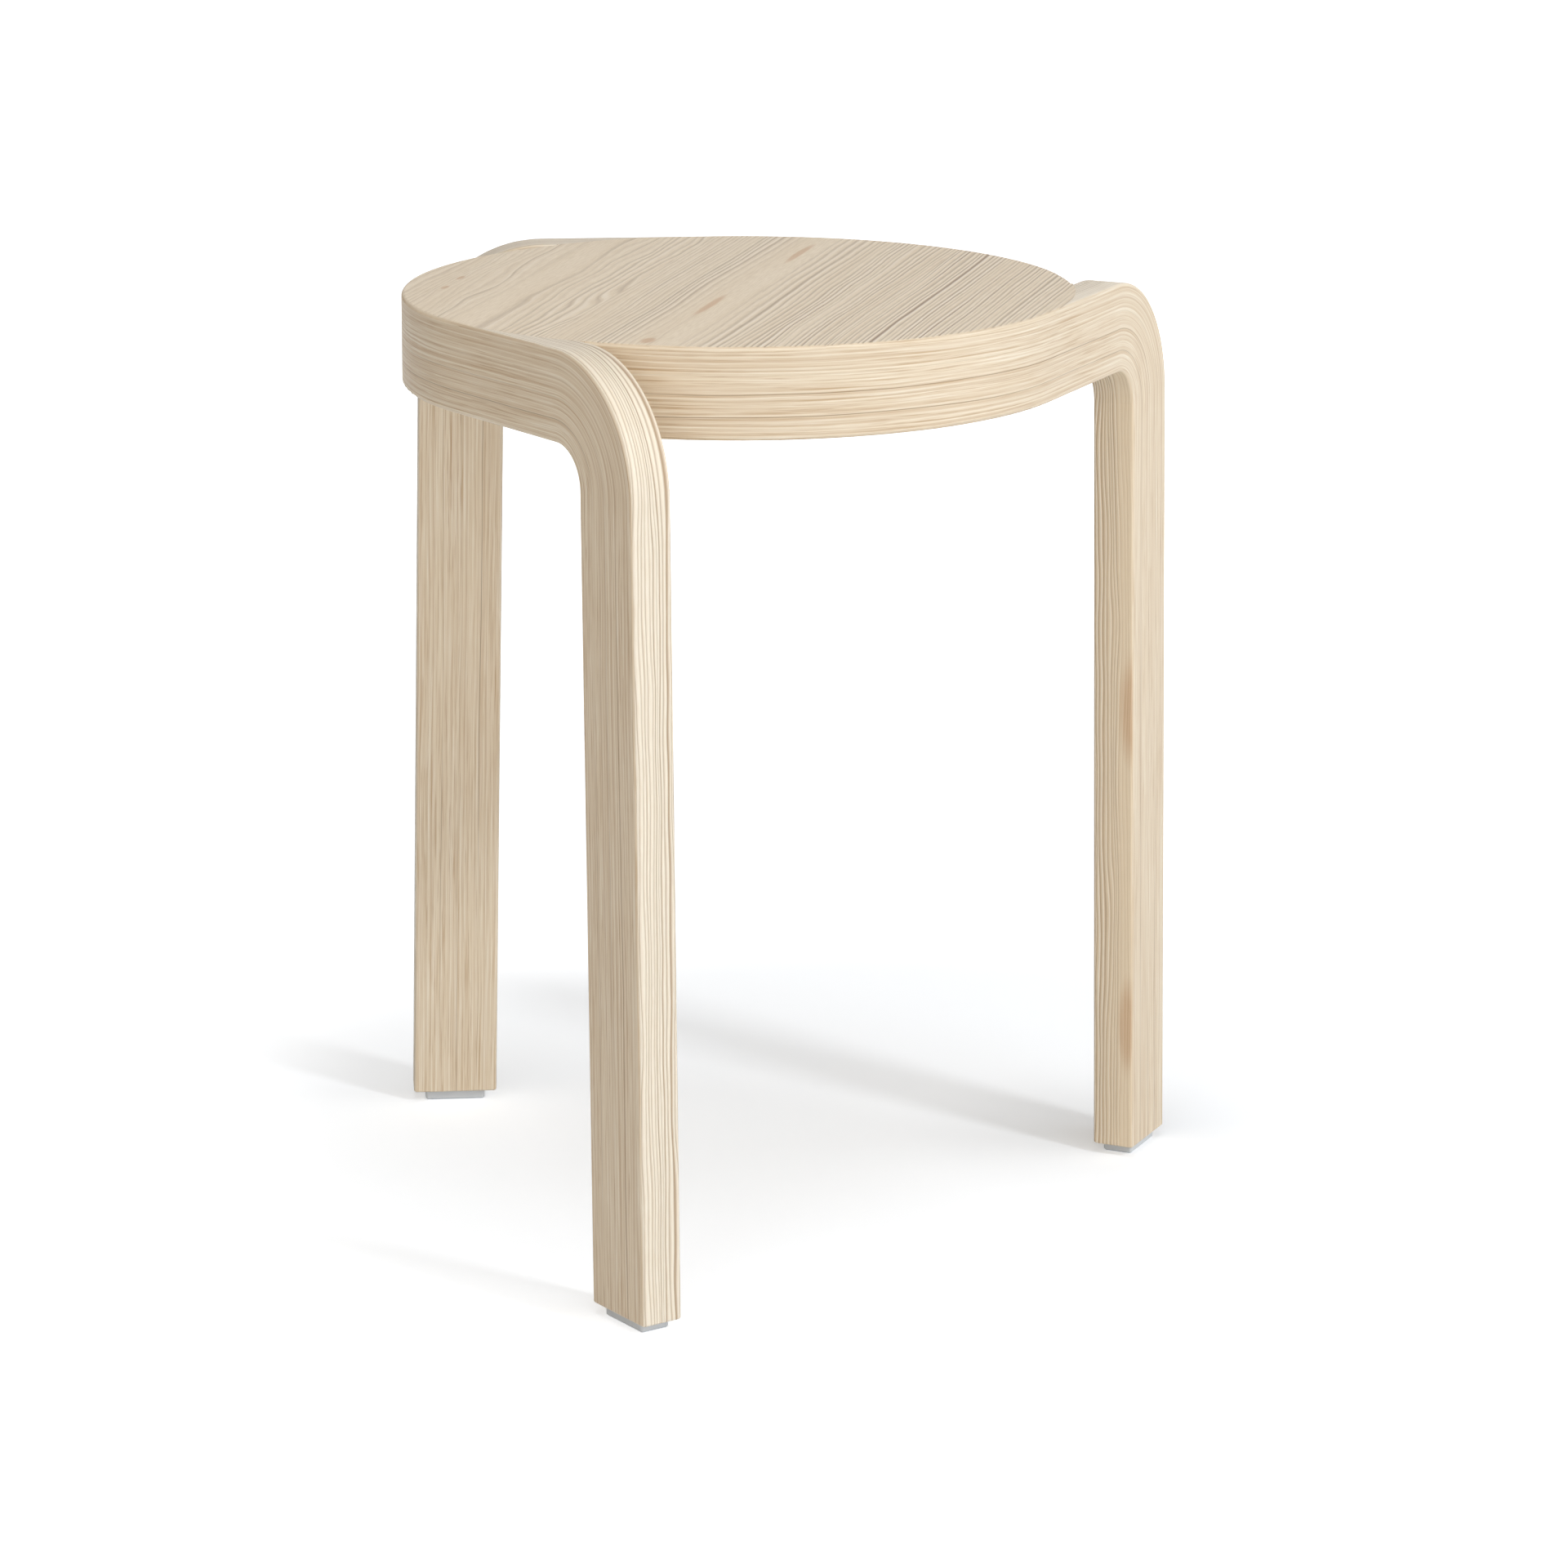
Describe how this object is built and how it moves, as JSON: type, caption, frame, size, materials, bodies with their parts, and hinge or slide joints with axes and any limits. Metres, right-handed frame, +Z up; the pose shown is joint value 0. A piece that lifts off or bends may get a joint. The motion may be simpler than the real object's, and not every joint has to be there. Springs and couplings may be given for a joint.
{
  "type": "stacking stool",
  "caption": "Round wooden stacking stool: bent strip legs run on as a pinwheel rim round a flat boarded seat, and stand on small plastic glides.",
  "frame": {"origin": "centre of the seat's top face, on the axis about which the legs repeat by a third of a turn; the floor is the plane z = -0.440 m", "axes": "+Z up, out of the seat; +X to the right and +Y away in the picture; the arm of leg_rear faces +Y, that of leg_right faces -30 degrees and that of leg_front faces -150 degrees about +Z from +X"},
  "size_m": [0.3737, 0.3746, 0.44],
  "materials": {
    "pine_leg": "clear-lacquered laminated pine, satin",
    "pine_face": "clear-lacquered sliced pine face, satin",
    "core_board": "bare glued softwood board",
    "beech_dowel": "bare wood, glued in",
    "grey_plastic": "light grey moulded plastic",
    "zinc_steel": "zinc-plated"
  },
  "bodies": {
    "root": {"leg_front": "pine_leg", "leg_right": "pine_leg", "leg_rear": "pine_leg", "dowels_front": "beech_dowel", "dowels_right": "beech_dowel", "dowels_rear": "beech_dowel", "glide_front": "grey_plastic", "glide_right": "grey_plastic", "glide_rear": "grey_plastic", "screw_front": "zinc_steel", "screw_right": "zinc_steel", "screw_rear": "zinc_steel", "seat_core": "core_board", "seat_leaf_left": "pine_face", "seat_leaf_middle": "pine_face", "seat_leaf_right": "pine_face"}
  },
  "joints": []
}
